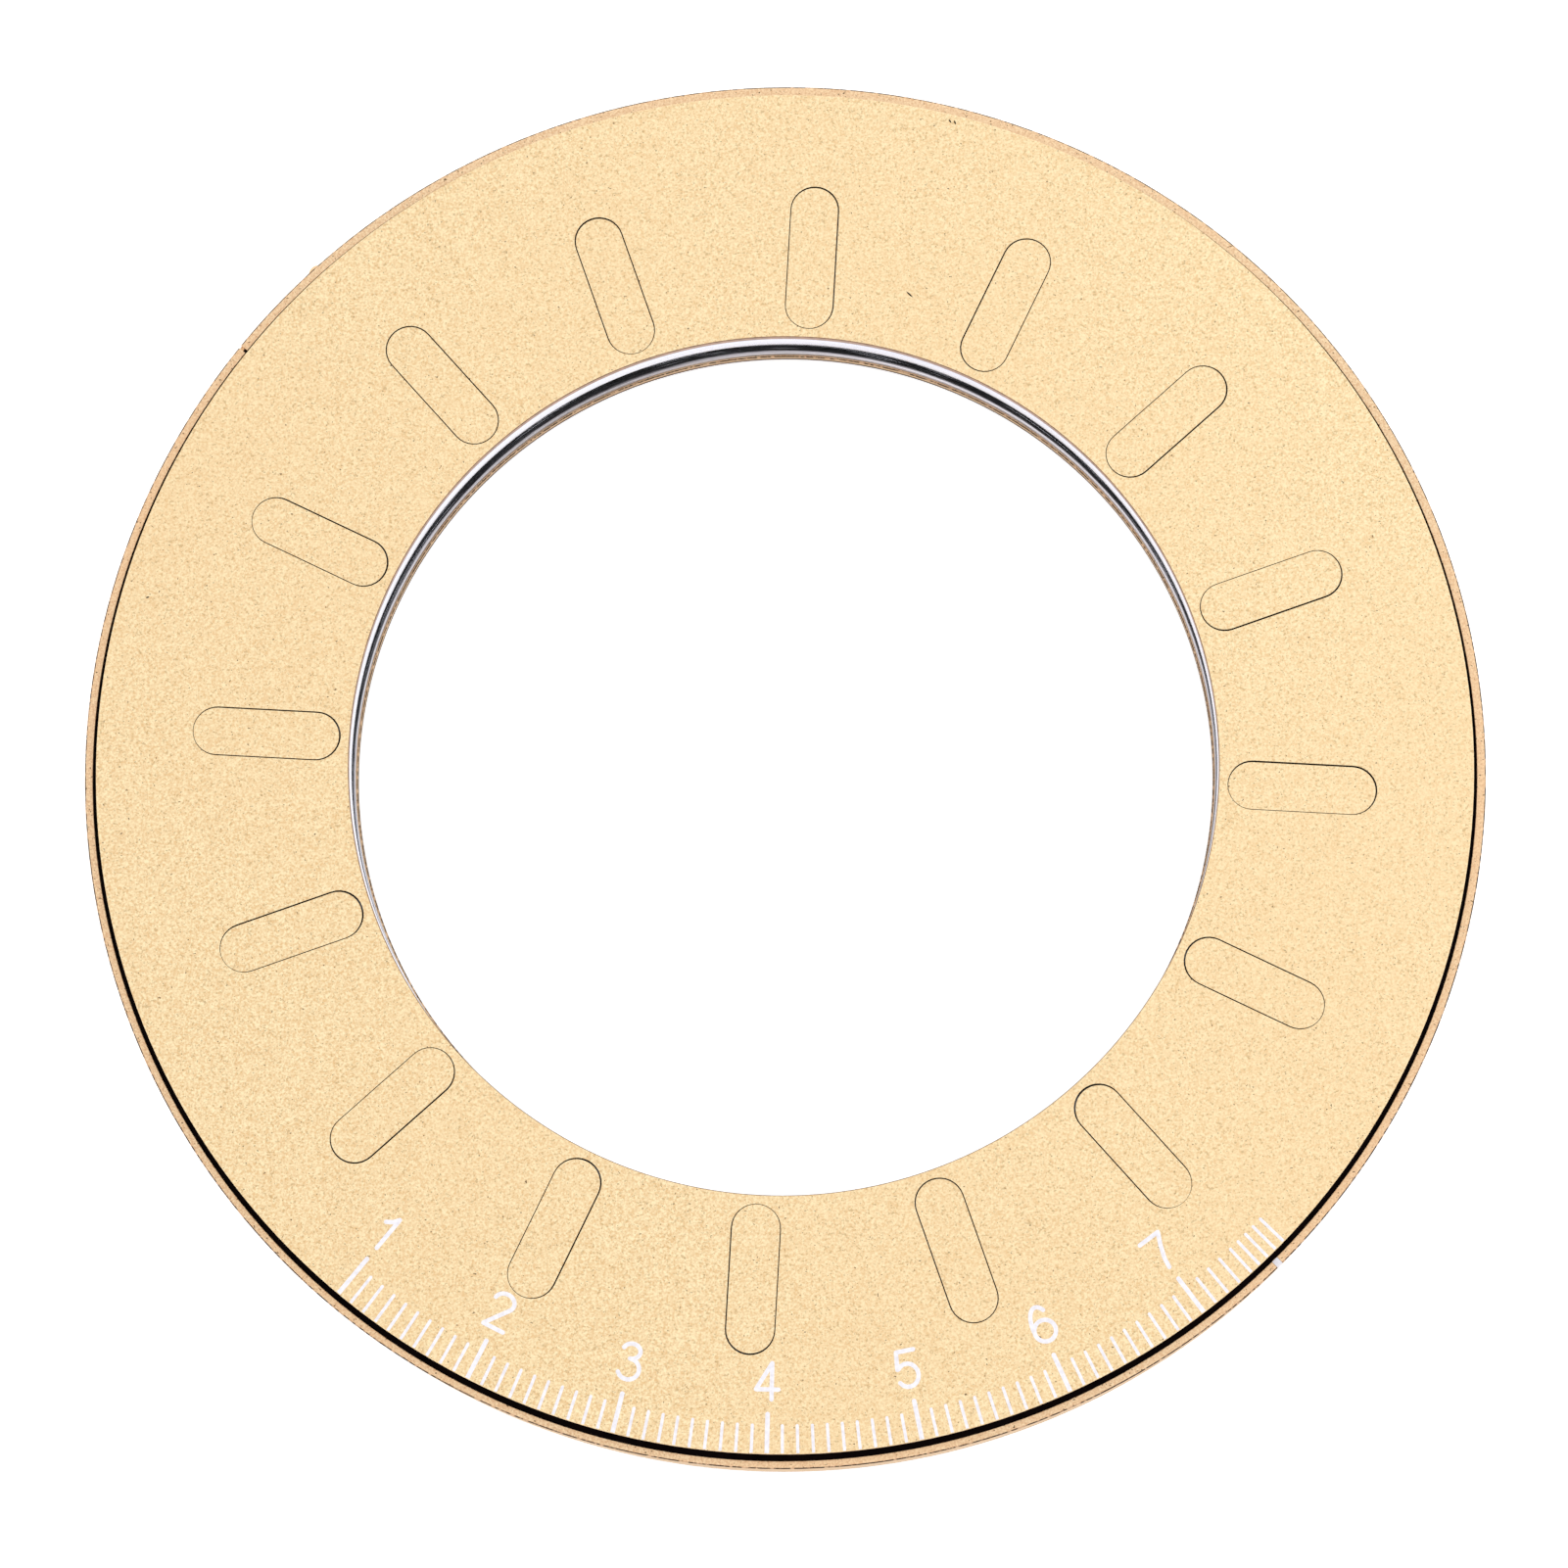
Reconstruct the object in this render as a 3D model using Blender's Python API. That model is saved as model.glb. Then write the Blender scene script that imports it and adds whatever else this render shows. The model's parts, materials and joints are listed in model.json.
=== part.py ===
"""Adjustable iris circle template.

A shallow ring tray carries sixteen thin arc-shaped leaves. Each leaf turns on a stud of the pivot ring
at one end and carries an upright guide pin at the other. The pins run in the radial slots of a slot ring
under the dial, so turning the dial swings all the leaves inwards and closes the round drawing aperture.

Units are millimetres and degrees in the constants and metres in the scene. +Z is up, the origin is the
middle of the underside, and the index notch is at the front right.
"""

import math

import bmesh
import bpy
from mathutils import Matrix, Vector

MM = 0.001

# Outline, read from the bore outwards
BORE_RADIUS = 38.1
FLOOR_BORE_RADIUS = 37.95
DIAL_RADIUS = 60.3
SLOT_RING_RADIUS = 60.10
RIM_INNER_RADIUS = 60.80
TRAY_RADIUS = 61.50

# Heights of the stack, from the underside up
FLOOR_TOP = 1.25
PIVOT_RING_TOP = 2.65
SLOT_RING_BOTTOM = 5.20
SLOT_RING_TOP = 7.15
RIM_TOP = 6.50
DIAL_TOP = 8.00
SEAT_GAP = 0.05
EDGE_BREAK = 0.12
FOOT_BREAK = 0.30

# Iris mechanism
LEAF_COUNT = 16
PIVOT_CIRCLE_RADIUS = 45.6
GUIDE_PIN_LEAD = 142.0
LEAF_INNER_RADIUS = 38.2
LEAF_OUTER_RADIUS = 49.8
LEAF_THICKNESS = 0.05
LEAF_END_REACH = 6.0
LEAF_END_BLUNTNESS = 1.08
LEAF_CLEARANCE = 0.06
STUD_RADIUS = 0.75
STUD_HOLE_RADIUS = 0.82
STUD_SEAT_DEPTH = 0.8
GUIDE_PIN_RADIUS = 1.0
GUIDE_PIN_FOOT_GAP = 0.03
GUIDE_PIN_TOP_GAP = 0.15

# Each leaf climbs from the pivot ring to the slot ring. The climb is steepest where the leaf passes
# the middle of the closed aperture, because neighbouring leaves cross at the closest spacing there.
CLIMB_CENTRE = 68.5
CLIMB_SPREAD = 14.0
STEEP_SPAN = 25.0

# Radial slots, with the lead that centres the pins' small side drift in them
FIRST_SLOT_ANGLE = 86.74
SLOT_INNER_RADIUS = 38.90
SLOT_OUTER_RADIUS = 51.89
SLOT_WIDTH = 4.28
COVER_HAIRLINE = 0.12
PIN_DRIFT_CENTRE = 0.22

# Dial travel and its stop
DIAL_TRAVEL = (-1.4, 83.7)
STOP_PIN_ANGLE = 133.0
STOP_PIN_HEIGHT = 5.65
STOP_PIN_RADIUS = 0.30
STOP_HEAD_RADIUS = 0.60
STOP_HEAD_PROUD = 0.38
STOP_HEAD_GAP = 0.03
STOP_TIP_GAP = 0.30
STOP_RECESS_RADIUS = 59.0
STOP_RECESS_TOP = 6.15
STOP_RECESS_SEGMENTS = 24
STOP_ALLOWANCE = 1.0

# Ring that holds the dial assembly down, seated in a groove of the rim
RETAINER_BOTTOM = 5.64
RETAINER_TOP = 6.00
RETAINER_INNER_RADIUS = 60.22
RETAINER_OUTER_RADIUS = 61.09
GROOVE_RADIUS = 61.15
FLANGE_RADIUS = 60.72
RETAINER_OPENING = 3.0

SPACER_INNER_RADIUS = 55.3
SPACER_OUTER_RADIUS = 60.72

# Marks on the rim: the index crosses the lip and runs down the outer face in a shallow channel
INDEX_ANGLE = -45.8
INDEX_WIDTH = 0.65
INDEX_LIP_DEPTH = 0.33
INDEX_DEPTH = 2.6
INDEX_CHANNEL_RADIUS = 61.27
INDEX_GAP = 0.03
NICK_ANGLE = 142.0
NICK_WIDTH = 0.3
NICK_DEPTH = 0.5

# How far a cutting shape reaches past the surfaces that it opens
CUTTER_REACH = 1.0

RING_SEGMENTS = 72
SLOT_END_SEGMENTS = 6
PIN_SEGMENTS = 10

FULL_TURN = 360.0
SLOT_PITCH = FULL_TURN / LEAF_COUNT
SLOT_ANGLES = [FIRST_SLOT_ANGLE + SLOT_PITCH * number for number in range(LEAF_COUNT)]
PIN_LAG = math.degrees(PIN_DRIFT_CENTRE / PIVOT_CIRCLE_RADIUS)

GOLD = (0.939, 0.730, 0.445)
DEEP_GOLD = (0.900, 0.600, 0.330)
STEEL = (0.78, 0.78, 0.82)
BRASS = (0.72, 0.50, 0.20)
BLACKENED = (0.03, 0.028, 0.027)
WHITE = (0.92, 0.91, 0.90)


def clear_scene():
    for old in list(bpy.data.objects):
        bpy.data.objects.remove(old, do_unlink=True)


def make_material(name, colour, roughness, metallic):
    material = bpy.data.materials.new(name)
    material.use_nodes = True
    shader = material.node_tree.nodes["Principled BSDF"]
    shader.inputs["Base Color"].default_value = (*colour, 1.0)
    shader.inputs["Roughness"].default_value = roughness
    shader.inputs["Metallic"].default_value = metallic
    material.diffuse_color = (*colour, 1.0)
    return material


def polar(radius, angle, height=0.0):
    """A point in metres from a radius and a height in millimetres and an angle in degrees."""
    turn = math.radians(angle)
    return Vector((radius * math.cos(turn), radius * math.sin(turn), height)) * MM


def finish_mesh(bm, name):
    """Merge coincident points, face the surface outwards and shade round faces smooth."""
    bmesh.ops.remove_doubles(bm, verts=bm.verts, dist=1e-7)
    bmesh.ops.recalc_face_normals(bm, faces=bm.faces)
    mesh = bpy.data.meshes.new(name)
    bm.to_mesh(mesh)
    bm.free()
    mesh.shade_smooth()
    mesh.set_sharp_from_angle(angle=math.radians(30))
    return mesh


def add_object(name, mesh, material=None, parent=None):
    made = bpy.data.objects.new(name, mesh)
    bpy.context.collection.objects.link(made)
    if material:
        mesh.materials.clear()
        mesh.materials.append(material)
    made.parent = parent
    return made


def add_empty(name, location=(0.0, 0.0, 0.0), turn=0.0):
    """An empty that stands on a joint's axis and carries what turns about it."""
    empty = bpy.data.objects.new(name, None)
    empty.empty_display_size = 0.004
    empty.location = location
    empty.rotation_euler.z = math.radians(turn)
    bpy.context.collection.objects.link(empty)
    return empty


def combine(target, tool, operation="DIFFERENCE"):
    """Cut a hidden shape out of the target, or unite it with the target."""
    tool.hide_render = True
    tool.display_type = "WIRE"
    boolean = target.modifiers.new(tool.name, "BOOLEAN")
    boolean.operation = operation
    boolean.solver = "EXACT"
    boolean.object = tool


def turned_ring(name, profile, segments=RING_SEGMENTS, start=0.0, sweep=FULL_TURN):
    """Spin a closed profile of (radius, height) points about Z. Less than a full turn gets end caps."""
    bm = bmesh.new()
    closed = sweep == FULL_TURN
    rows = []
    for step in range(segments + (not closed)):
        angle = start + sweep * step / segments
        rows.append([bm.verts.new(polar(radius, angle, height)) for radius, height in profile])
    following = rows[1:] + rows[:1] if closed else rows[1:]
    for row, after in zip(rows, following):
        for low in range(len(profile)):
            high = (low + 1) % len(profile)
            bm.faces.new((row[low], row[high], after[high], after[low]))
    if not closed:
        bm.faces.new(rows[0])
        bm.faces.new(rows[-1])
    return finish_mesh(bm, name)


def turned_pin(name, profile):
    """Spin an open profile that starts and ends on the Z axis into a solid pin."""
    bm = bmesh.new()
    corners = [bm.verts.new(polar(radius, 0, height)) for radius, height in profile]
    edges = [bm.edges.new(pair) for pair in zip(corners, corners[1:])]
    bmesh.ops.spin(
        bm,
        geom=corners + edges,
        cent=(0, 0, 0),
        axis=(0, 0, 1),
        angle=math.radians(FULL_TURN),
        steps=PIN_SEGMENTS,
    )
    return finish_mesh(bm, name)


def ring_profile(inner, outer, bottom, top, edge=0.0):
    """A rectangular section with its top edges broken by a small chamfer."""
    if not edge:
        return [(inner, bottom), (outer, bottom), (outer, top), (inner, top)]
    return [
        (inner, bottom),
        (outer, bottom),
        (outer, top - edge),
        (outer - edge, top),
        (inner + edge, top),
        (inner, top - edge),
    ]


def extrude_outline(bm, outline, bottom, top):
    """Extrude a closed outline of points from bottom to top, both in millimetres."""
    base = [bm.verts.new((x, y, bottom * MM)) for x, y in outline]
    face = bm.faces.new(base)
    grown = bmesh.ops.extrude_face_region(bm, geom=[face], use_keep_orig=True)
    raised = [item for item in grown["geom"] if isinstance(item, bmesh.types.BMVert)]
    bmesh.ops.translate(bm, verts=raised, vec=(0, 0, (top - bottom) * MM))


def slot_outline(angle, margin):
    """A radial slot with round ends, grown by margin all round."""
    half = SLOT_WIDTH / 2 + margin
    ends = (
        (SLOT_OUTER_RADIUS - SLOT_WIDTH / 2, -90.0),
        (SLOT_INNER_RADIUS + SLOT_WIDTH / 2, 90.0),
    )
    turn = Matrix.Rotation(math.radians(angle), 2)
    outline = []
    for centre, first in ends:
        for step in range(SLOT_END_SEGMENTS + 1):
            around = math.radians(first + 180.0 * step / SLOT_END_SEGMENTS)
            x = centre + half * math.cos(around)
            y = half * math.sin(around)
            outline.append(turn @ Vector((x, y)) * MM)
    return outline


def add_slot_cutter(name, margin, bottom, top):
    """All the radial slots as one set of cutting prisms."""
    bm = bmesh.new()
    for angle in SLOT_ANGLES:
        extrude_outline(bm, slot_outline(angle, margin), bottom, top)
    return add_object(name, finish_mesh(bm, name))


def add_block(bm, size, angle, radius, height):
    """A box with radial, tangential and vertical sizes in millimetres, centred at a polar place."""
    place = (
        Matrix.Translation(polar(radius, angle, height))
        @ Matrix.Rotation(math.radians(angle), 4, "Z")
        @ Matrix.Diagonal((*(side * MM for side in size), 1.0))
    )
    bmesh.ops.create_cube(bm, size=1.0, matrix=place)


def radial_axis_place(angle, height):
    """Stand a pin made along Z on a radius instead, pointing away from the dial's axis."""
    return (
        Matrix.Rotation(math.radians(angle), 4, "Z")
        @ Matrix.Translation((0, 0, height * MM))
        @ Matrix.Rotation(math.radians(90), 4, "Y")
    )


def tray_profile():
    """Section of the tray: floor, wall with a groove near its lip, and broken edges underneath."""
    return [
        (FLOOR_BORE_RADIUS, FOOT_BREAK),
        (FLOOR_BORE_RADIUS + FOOT_BREAK, 0.0),
        (TRAY_RADIUS - FOOT_BREAK, 0.0),
        (TRAY_RADIUS, FOOT_BREAK),
        (TRAY_RADIUS, RIM_TOP),
        (RIM_INNER_RADIUS, RIM_TOP),
        (RIM_INNER_RADIUS, RETAINER_TOP + SEAT_GAP),
        (GROOVE_RADIUS, RETAINER_TOP + SEAT_GAP),
        (GROOVE_RADIUS, RETAINER_BOTTOM - SEAT_GAP),
        (RIM_INNER_RADIUS, RETAINER_BOTTOM - SEAT_GAP),
        (RIM_INNER_RADIUS, FLOOR_TOP),
        (FLOOR_BORE_RADIUS, FLOOR_TOP),
    ]


def index_shape(name, gap, beyond):
    """The index filling's L-shaped section swept across its width, with a gap all round taken off.

    Past the rim's own surfaces the shape is grown by beyond, which makes it a cutter.
    """
    inner = RIM_INNER_RADIUS - beyond
    outer = TRAY_RADIUS + beyond
    top = RIM_TOP + beyond
    channel = INDEX_CHANNEL_RADIUS + gap
    profile = [
        (channel, RIM_TOP - INDEX_DEPTH + gap),
        (outer, RIM_TOP - INDEX_DEPTH + gap),
        (outer, top),
        (inner, top),
        (inner, RIM_TOP - INDEX_LIP_DEPTH + gap),
        (channel, RIM_TOP - INDEX_LIP_DEPTH + gap),
    ]
    sweep = math.degrees((INDEX_WIDTH - 2 * gap) / TRAY_RADIUS)
    return turned_ring(name, profile, 2, INDEX_ANGLE - sweep / 2, sweep)


def build_base_tray(gold):
    """The gold ring tray: floor, thin rim, retainer groove, index notch, nick and stop pin hole."""
    tray = add_object("base_tray", turned_ring("base_tray", tray_profile()), gold)
    combine(tray, add_object("index_cutter", index_shape("index_cutter", 0.0, CUTTER_REACH)))
    rim_middle = (RIM_INNER_RADIUS + TRAY_RADIUS) / 2
    through = 2 * CUTTER_REACH
    bm = bmesh.new()
    nick = (through, NICK_WIDTH, 2 * NICK_DEPTH)
    add_block(bm, nick, NICK_ANGLE, rim_middle, RIM_TOP)
    bmesh.ops.create_cone(
        bm,
        cap_ends=True,
        segments=PIN_SEGMENTS,
        radius1=(STOP_PIN_RADIUS + SEAT_GAP) * MM,
        radius2=(STOP_PIN_RADIUS + SEAT_GAP) * MM,
        depth=through * MM,
        matrix=radial_axis_place(STOP_PIN_ANGLE, STOP_PIN_HEIGHT)
        @ Matrix.Translation((0, 0, rim_middle * MM)),
    )
    combine(tray, add_object("rim_cutter", finish_mesh(bm, "rim_cutter")))


def build_index_mark(white):
    """White filling of the index notch, flush with the rim's top and outer face."""
    add_object("index_mark", index_shape("index_mark", INDEX_GAP, 0.0), white)


def climb(angle):
    """Height of a leaf's underside above the lowest leaf end, for an angle along the leaf."""
    lowest = -LEAF_END_REACH
    highest = GUIDE_PIN_LEAD + LEAF_END_REACH
    available = SLOT_RING_BOTTOM - PIVOT_RING_TOP - 2 * LEAF_CLEARANCE - LEAF_THICKNESS

    def raw(at):
        return math.asinh((at - CLIMB_CENTRE) / CLIMB_SPREAD)

    return available * (raw(angle) - raw(lowest)) / (raw(highest) - raw(lowest))


def leaf_underside(angle):
    return PIVOT_RING_TOP + LEAF_CLEARANCE + climb(angle)


def build_pivot_ring(steel):
    """Steel ring on the tray floor with one upright stud for each leaf."""
    bottom = FLOOR_TOP + SEAT_GAP
    profile = ring_profile(BORE_RADIUS, SPACER_OUTER_RADIUS, bottom, PIVOT_RING_TOP)
    ring = add_object("pivot_ring", turned_ring("pivot_ring", profile), steel)
    stud_top = leaf_underside(0.0) + LEAF_THICKNESS
    root = PIVOT_RING_TOP - STUD_SEAT_DEPTH
    bm = bmesh.new()
    for angle in SLOT_ANGLES:
        at = polar(PIVOT_CIRCLE_RADIUS, angle - GUIDE_PIN_LEAD - PIN_LAG, (root + stud_top) / 2)
        bmesh.ops.create_cone(
            bm,
            cap_ends=True,
            segments=PIN_SEGMENTS,
            radius1=STUD_RADIUS * MM,
            radius2=STUD_RADIUS * MM,
            depth=(stud_top - root) * MM,
            matrix=Matrix.Translation(at),
        )
    studs = add_object("stud_shapes", finish_mesh(bm, "stud_shapes"))
    combine(ring, studs, "UNION")


def build_spacer_ring(steel):
    """Steel spacer that keeps the slot ring clear of the leaves."""
    bottom = PIVOT_RING_TOP + SEAT_GAP
    top = SLOT_RING_BOTTOM - SEAT_GAP
    profile = ring_profile(SPACER_INNER_RADIUS, SPACER_OUTER_RADIUS, bottom, top)
    add_object("spacer_ring", turned_ring("spacer_ring", profile), steel)


def leaf_half_width(angle):
    """Half the leaf's radial width, drawn in to a round end past the pivot and past the guide pin."""
    half = (LEAF_OUTER_RADIUS - LEAF_INNER_RADIUS) / 2
    past_end = max(-angle, angle - GUIDE_PIN_LEAD, 0.0) / (LEAF_END_REACH * LEAF_END_BLUNTNESS)
    return half * math.sqrt(1.0 - past_end**2)


def leaf_stations():
    """Angles along the leaf, closer together at the round ends and where the climb is steep."""
    fine, coarse = 3.0, 7.0
    end_step = LEAF_END_REACH / 3
    stations = [-LEAF_END_REACH + end_step * step for step in range(3)]
    angle = 0.0
    while angle < GUIDE_PIN_LEAD:
        stations.append(angle)
        steep = abs(angle - CLIMB_CENTRE) < STEEP_SPAN
        angle += fine if steep else coarse
    stations += [GUIDE_PIN_LEAD + end_step * step for step in range(4)]
    return stations


def leaf_blank():
    """The flat punched leaf, in the ring's frame with its pivot at angle zero."""
    middle = (LEAF_INNER_RADIUS + LEAF_OUTER_RADIUS) / 2
    bm = bmesh.new()
    rows = []
    for angle in leaf_stations():
        half = leaf_half_width(angle)
        row = [bm.verts.new(polar(middle + side * half, angle)) for side in (-1, 1)]
        rows.append(row)
    for (inner, outer), (next_inner, next_outer) in zip(rows, rows[1:]):
        bm.faces.new((inner, outer, next_outer, next_inner))
    grown = bmesh.ops.extrude_face_region(bm, geom=list(bm.faces), use_keep_orig=True)
    raised = [item for item in grown["geom"] if isinstance(item, bmesh.types.BMVert)]
    bmesh.ops.translate(bm, verts=raised, vec=(0, 0, LEAF_THICKNESS * MM))
    return finish_mesh(bm, "leaf_blank")


def make_leaf_mesh():
    """Punch the stud hole in the blank, form the climb and move the pivot to the origin."""
    blank = add_object("leaf_blank", leaf_blank())
    bm = bmesh.new()
    bmesh.ops.create_cone(
        bm,
        cap_ends=True,
        segments=PIN_SEGMENTS,
        radius1=STUD_HOLE_RADIUS * MM,
        radius2=STUD_HOLE_RADIUS * MM,
        depth=CUTTER_REACH * MM,
        matrix=Matrix.Translation(polar(PIVOT_CIRCLE_RADIUS, 0.0)),
    )
    punch = add_object("punch", finish_mesh(bm, "punch"))
    combine(blank, punch)
    graph = bpy.context.evaluated_depsgraph_get()
    mesh = bpy.data.meshes.new_from_object(blank.evaluated_get(graph))
    mesh.name = "leaf"
    for tool in (blank, punch):
        bpy.data.objects.remove(tool, do_unlink=True)
    for vertex in mesh.vertices:
        angle = math.degrees(math.atan2(vertex.co.y, vertex.co.x))
        vertex.co.z += leaf_underside(angle) * MM
        vertex.co.x -= PIVOT_CIRCLE_RADIUS * MM
    return mesh


def make_guide_pin_mesh():
    """Upright pin on the leaf's driven end, in the leaf's frame."""
    bottom = leaf_underside(GUIDE_PIN_LEAD) + LEAF_THICKNESS + GUIDE_PIN_FOOT_GAP
    top = SLOT_RING_TOP - GUIDE_PIN_TOP_GAP
    profile = [(0.0, bottom), (GUIDE_PIN_RADIUS, bottom), (GUIDE_PIN_RADIUS, top), (0.0, top)]
    mesh = turned_pin("guide_pin", profile)
    offset = polar(PIVOT_CIRCLE_RADIUS, GUIDE_PIN_LEAD) - polar(PIVOT_CIRCLE_RADIUS, 0.0)
    mesh.transform(Matrix.Translation(offset))
    return mesh


def build_leaves(leaf_steel, pin_brass):
    """Sixteen equal leaves, each with its guide pin, hung on an empty on the leaf's pivot axis."""
    leaf_mesh = make_leaf_mesh()
    pin_mesh = make_guide_pin_mesh()
    for number, slot_angle in enumerate(SLOT_ANGLES, start=1):
        pivot_angle = slot_angle - GUIDE_PIN_LEAD - PIN_LAG
        pivot = add_empty(
            f"leaf_{number:02d}_pivot",
            polar(PIVOT_CIRCLE_RADIUS, pivot_angle),
            pivot_angle,
        )
        add_object(f"leaf_{number:02d}", leaf_mesh, leaf_steel, pivot)
        add_object(f"guide_pin_{number:02d}", pin_mesh, pin_brass, pivot)


def build_slot_ring(steel, dial_axis):
    """Steel ring under the dial with the radial slots, a holding flange and the stop recess."""
    flange_top = RETAINER_BOTTOM - SEAT_GAP
    profile = [
        (BORE_RADIUS, SLOT_RING_BOTTOM),
        (FLANGE_RADIUS, SLOT_RING_BOTTOM),
        (FLANGE_RADIUS, flange_top),
        (SLOT_RING_RADIUS, flange_top),
        (SLOT_RING_RADIUS, SLOT_RING_TOP),
        (BORE_RADIUS, SLOT_RING_TOP),
    ]
    ring = add_object("slot_ring", turned_ring("slot_ring", profile), steel, dial_axis)
    below = SLOT_RING_BOTTOM - CUTTER_REACH
    above = SLOT_RING_TOP + CUTTER_REACH
    combine(ring, add_slot_cutter("pin_slot_cutter", 0.0, below, above))
    first = STOP_PIN_ANGLE - DIAL_TRAVEL[1] - STOP_ALLOWANCE
    sweep = DIAL_TRAVEL[1] - DIAL_TRAVEL[0] + 2 * STOP_ALLOWANCE
    outer = FLANGE_RADIUS + CUTTER_REACH
    recess = ring_profile(STOP_RECESS_RADIUS, outer, below, STOP_RECESS_TOP)
    cutter_mesh = turned_ring("stop_recess_cutter", recess, STOP_RECESS_SEGMENTS, first, sweep)
    combine(ring, add_object("stop_recess_cutter", cutter_mesh))


def build_dial(gold, dial_axis):
    """Flat gold dial plate, with a flush cover in each slot outline."""
    bottom = SLOT_RING_TOP + SEAT_GAP
    profile = ring_profile(BORE_RADIUS, DIAL_RADIUS, bottom, DIAL_TOP, EDGE_BREAK)
    plate = add_object("dial_plate", turned_ring("dial_plate", profile), gold, dial_axis)
    hairline = COVER_HAIRLINE / 2
    below = bottom - CUTTER_REACH
    above = DIAL_TOP + CUTTER_REACH
    combine(plate, add_slot_cutter("cover_cutter", hairline, below, above))
    bm = bmesh.new()
    extrude_outline(bm, slot_outline(0.0, -hairline), bottom, DIAL_TOP)
    cover_mesh = finish_mesh(bm, "slot_cover")
    for number, angle in enumerate(SLOT_ANGLES, start=1):
        cover = add_object(f"slot_cover_{number:02d}", cover_mesh, gold, dial_axis)
        cover.rotation_euler.z = math.radians(angle)


def build_retaining_ring(blackened):
    """Blackened spring ring over the flange, split where the stop pin passes."""
    profile = ring_profile(
        RETAINER_INNER_RADIUS, RETAINER_OUTER_RADIUS, RETAINER_BOTTOM, RETAINER_TOP
    )
    start = STOP_PIN_ANGLE + RETAINER_OPENING / 2
    sweep = FULL_TURN - RETAINER_OPENING
    mesh = turned_ring("retaining_ring", profile, RING_SEGMENTS, start, sweep)
    add_object("retaining_ring", mesh, blackened)


def build_stop_pin(gold):
    """Domed pin through the rim, whose tip runs in the slot ring's recess."""
    tip = STOP_RECESS_RADIUS + STOP_TIP_GAP
    seat = TRAY_RADIUS + STOP_HEAD_GAP
    crown = TRAY_RADIUS + STOP_HEAD_PROUD
    profile = [
        (0.0, tip),
        (STOP_PIN_RADIUS, tip),
        (STOP_PIN_RADIUS, seat),
        (STOP_HEAD_RADIUS, seat),
        (STOP_HEAD_RADIUS * 0.8, (seat + crown) / 2),
        (STOP_HEAD_RADIUS * 0.4, crown),
        (0.0, crown),
    ]
    pin = add_object("stop_pin", turned_pin("stop_pin", profile), gold)
    pin.matrix_world = radial_axis_place(STOP_PIN_ANGLE, STOP_PIN_HEIGHT)


def build_template():
    clear_scene()
    gold = make_material("gold_anodised", GOLD, 0.42, 0.75)
    deep_gold = make_material("gold_rim", DEEP_GOLD, 0.40, 0.75)
    steel = make_material("ring_steel", STEEL, 0.28, 1.0)
    leaf_steel = make_material("leaf_steel", STEEL, 0.22, 1.0)
    brass = make_material("pin_brass", BRASS, 0.30, 1.0)
    blackened = make_material("blackened_spring", BLACKENED, 0.45, 0.6)
    white = make_material("white_enamel", WHITE, 0.50, 0.0)

    build_base_tray(deep_gold)
    build_index_mark(white)
    build_pivot_ring(steel)
    build_spacer_ring(steel)
    build_leaves(leaf_steel, brass)
    dial_axis = add_empty("dial_axis")
    build_slot_ring(steel, dial_axis)
    build_dial(gold, dial_axis)
    build_retaining_ring(blackened)
    build_stop_pin(deep_gold)


build_template()
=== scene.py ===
"""Studio view of an adjustable iris circle template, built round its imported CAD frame.

The CAD solids that show are replaced by finer turned, cut and bevelled pieces of the same sizes,
which ride on the same bodies. Constants are in millimetres and degrees, the scene is in metres.
"""

import json
import math
import random

import bmesh
import bpy
import numpy as np
from mathutils import Matrix, Vector
from mathutils.geometry import delaunay_2d_cdt


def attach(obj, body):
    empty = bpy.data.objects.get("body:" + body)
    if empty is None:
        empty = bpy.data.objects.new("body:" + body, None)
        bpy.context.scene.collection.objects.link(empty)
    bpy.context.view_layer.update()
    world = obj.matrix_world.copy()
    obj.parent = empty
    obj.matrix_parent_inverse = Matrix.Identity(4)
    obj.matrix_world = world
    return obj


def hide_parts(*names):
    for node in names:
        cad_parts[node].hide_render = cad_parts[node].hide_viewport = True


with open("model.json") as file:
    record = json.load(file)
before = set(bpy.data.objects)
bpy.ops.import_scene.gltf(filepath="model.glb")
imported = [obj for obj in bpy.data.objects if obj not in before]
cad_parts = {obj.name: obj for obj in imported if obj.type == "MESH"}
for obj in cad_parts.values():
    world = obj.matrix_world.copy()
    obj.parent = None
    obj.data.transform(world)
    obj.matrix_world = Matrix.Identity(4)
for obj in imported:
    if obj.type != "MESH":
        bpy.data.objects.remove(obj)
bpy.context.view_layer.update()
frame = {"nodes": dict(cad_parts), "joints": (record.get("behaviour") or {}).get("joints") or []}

MM = 0.001
FULL_TURN = 360.0
RING_STEPS = 240
ROD_STEPS = 24
LEAF_COUNT = 16

# A face is level when its normal's height is above LEVEL, and upright when it is below UPRIGHT.
# An edge is sharp past its angle
LEVEL = 0.9999
UPRIGHT = 0.2
SHARP_ANGLE = 35.0
LEAF_SHARP_ANGLE = 40.0
DOME_SHARP_ANGLE = 50.0

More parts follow.
